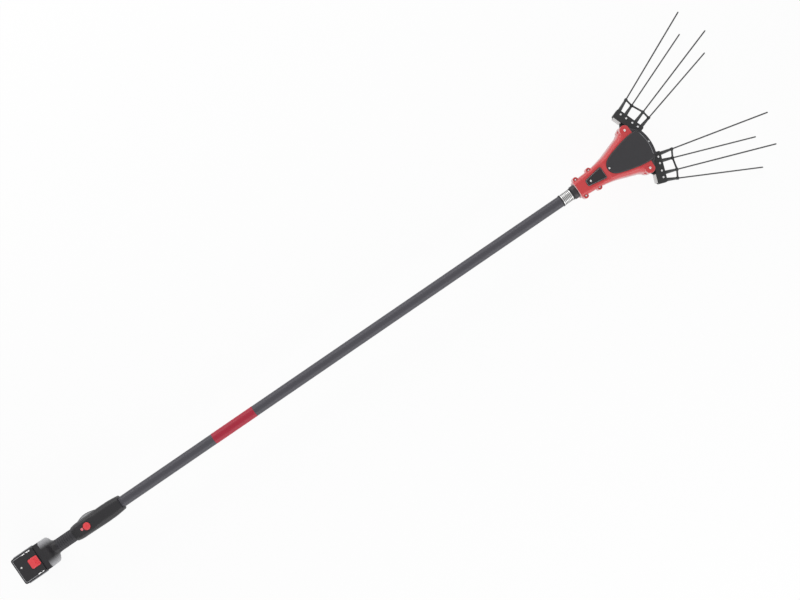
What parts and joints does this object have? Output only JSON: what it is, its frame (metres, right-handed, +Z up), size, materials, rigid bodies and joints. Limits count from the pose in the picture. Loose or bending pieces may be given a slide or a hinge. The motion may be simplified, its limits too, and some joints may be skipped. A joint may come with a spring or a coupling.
{
  "type": "electric olive harvester",
  "caption": "Long-pole battery olive harvester: slide-on battery in a foot, switch grip, dark pole and a red two-lobed head that swings fanned rakes of slim tines.",
  "frame": {"origin": "centre of the flat base of the battery foot, on the floor that the tool lies on", "axes": "+X along the pole to the head, +Y to the left rake, +Z up, the side with the buttons and covers"},
  "size_m": [2.2701, 0.4676, 0.1422],
  "materials": {
    "red_shell": "glossy red moulded ABS",
    "dark_cover": "satin dark grey moulded plastic",
    "black_plastic": "matt black moulded plastic",
    "grey_plastic": "satin grey moulded plastic",
    "foot_satin": "satin dark grey moulded plastic",
    "arm_black": "black anodised aluminium",
    "pole_paint": "dark grey anodised tube",
    "handle_rubber": "ribbed black rubber sleeve",
    "label_red": "bare red vinyl band",
    "bare_aluminium": "machined aluminium",
    "steel": "zinc plated steel",
    "red_button": "bright red moulded plastic",
    "carrier_black": "glass-filled black nylon",
    "tine_rod": "dark pultruded rod",
    "bronze": "sintered bronze",
    "copper_winding": "varnished winding on laminations",
    "board_green": "circuit board",
    "cell_wrap": "wrapped cell",
    "lead_black": "sheathed lead",
    "lamp_clear": "clear lamp lens",
    "lamp_red": "pale red lamp lens"
  },
  "bodies": {
    "frame": {"foot_housing": "foot_satin", "rail_plate": "black_plastic", "terminal_block": "black_plastic", "handle_screws": "steel", "pole": "pole_paint", "handle_sleeve": "handle_rubber", "label_band": "label_red", "power_lead": "lead_black", "grip_upper": "black_plastic", "grip_lower": "black_plastic", "button_spring": "steel", "switch_module": "black_plastic", "status_lamp": "lamp_red", "lever_hinge_pin": "steel", "ferrule": "bare_aluminium", "ferrule_rings": "black_plastic", "pole_collar": "dark_cover", "upper_shell": "red_shell", "lower_shell": "red_shell", "centre_cover": "dark_cover", "nose_trim": "dark_cover", "neck_cover": "black_plastic", "head_screws": "steel", "cover_screws": "steel", "pivot_screws": "steel", "pivot_shafts": "steel", "gear_plate": "bare_aluminium", "motor_stator": "copper_winding", "crank_bearings": "steel", "control_board": "board_green"},
    "battery": {"battery_tub": "black_plastic", "battery_top": "black_plastic", "battery_cells": "cell_wrap", "battery_screws": "steel", "charge_lamp": "lamp_clear", "release_spring": "steel"},
    "release_button": {"release_button": "red_button"},
    "push_button": {"push_button": "red_button"},
    "side_lever": {"side_lever": "grey_plastic"},
    "crank": {"crank_gear": "steel", "crank_shaft": "steel"},
    "motor": {"motor_rotor": "steel", "drive_pinion": "steel"},
    "left_rake": {"left_arm": "arm_black", "rake_bushes_left": "bronze", "lever_pin": "steel", "left_carrier": "carrier_black", "left_carrier_screws": "steel", "left_sleeves": "carrier_black", "left_brace": "carrier_black", "left_tines": "tine_rod"},
    "right_rake": {"right_arm": "arm_black", "rake_bushes_right": "bronze", "right_carrier": "carrier_black", "right_carrier_screws": "steel", "right_sleeves": "carrier_black", "right_brace": "carrier_black", "right_tines": "tine_rod"},
    "drive_rod": {"drive_rod": "bare_aluminium", "crank_pin": "steel"}
  },
  "joints": [
    {"name": "left_rake_swing", "type": "hinge", "parent": "frame", "child": "left_rake", "pos_m": [1.865, 0.059, 0.07111], "axis": [0, 0, 1], "range_deg": [-8, 8]},
    {"name": "right_rake_swing", "type": "hinge", "parent": "frame", "child": "right_rake", "pos_m": [1.865, -0.059, 0.07111], "axis": [0, 0, 1], "range_deg": [-8, 8]},
    {"name": "drive_rod_swing", "type": "hinge", "parent": "left_rake", "child": "drive_rod", "pos_m": [1.865, 0.014, 0.07111], "axis": [0, 0, 1], "range_deg": [-9, 9]},
    {"name": "crank_spin", "type": "hinge", "parent": "frame", "child": "crank", "pos_m": [1.813, 0, 0.07111], "axis": [0, 0, 1], "continuous": true},
    {"name": "motor_spin", "type": "hinge", "parent": "frame", "child": "motor", "pos_m": [1.783, 0, 0.07111], "axis": [0, 0, 1], "continuous": true},
    {"name": "push_button_press", "type": "slide", "parent": "frame", "child": "push_button", "axis": [0, 0, -1], "range_m": [0, 0.0025], "stiffness_N_per_m": 800, "springref_m": -0.001, "deforming": ["button_spring"]},
    {"name": "side_lever_squeeze", "type": "hinge", "parent": "frame", "child": "side_lever", "pos_m": [0.161, 0.0196, 0.07111], "axis": [0, 0, 1], "range_deg": [0, 3], "stiffness_Nm_per_rad": 0.6, "springref_deg": -2.86},
    {"name": "battery_slide", "type": "slide", "parent": "frame", "child": "battery", "axis": [0, 0, 1], "range_m": [0, 0.1]},
    {"name": "release_button_press", "type": "slide", "parent": "battery", "child": "release_button", "axis": [0, 0, -1], "range_m": [0, 0.003], "stiffness_N_per_m": 900, "springref_m": -0.001, "deforming": ["release_spring"]}
  ],
  "couplings": [
    {"joint": "right_rake_swing", "follows": "left_rake_swing", "ratio": -1},
    {"joint": "drive_rod_swing", "follows": "left_rake_swing", "ratio": -1},
    {"joint": "motor_spin", "follows": "crank_spin", "ratio": -4}
  ]
}
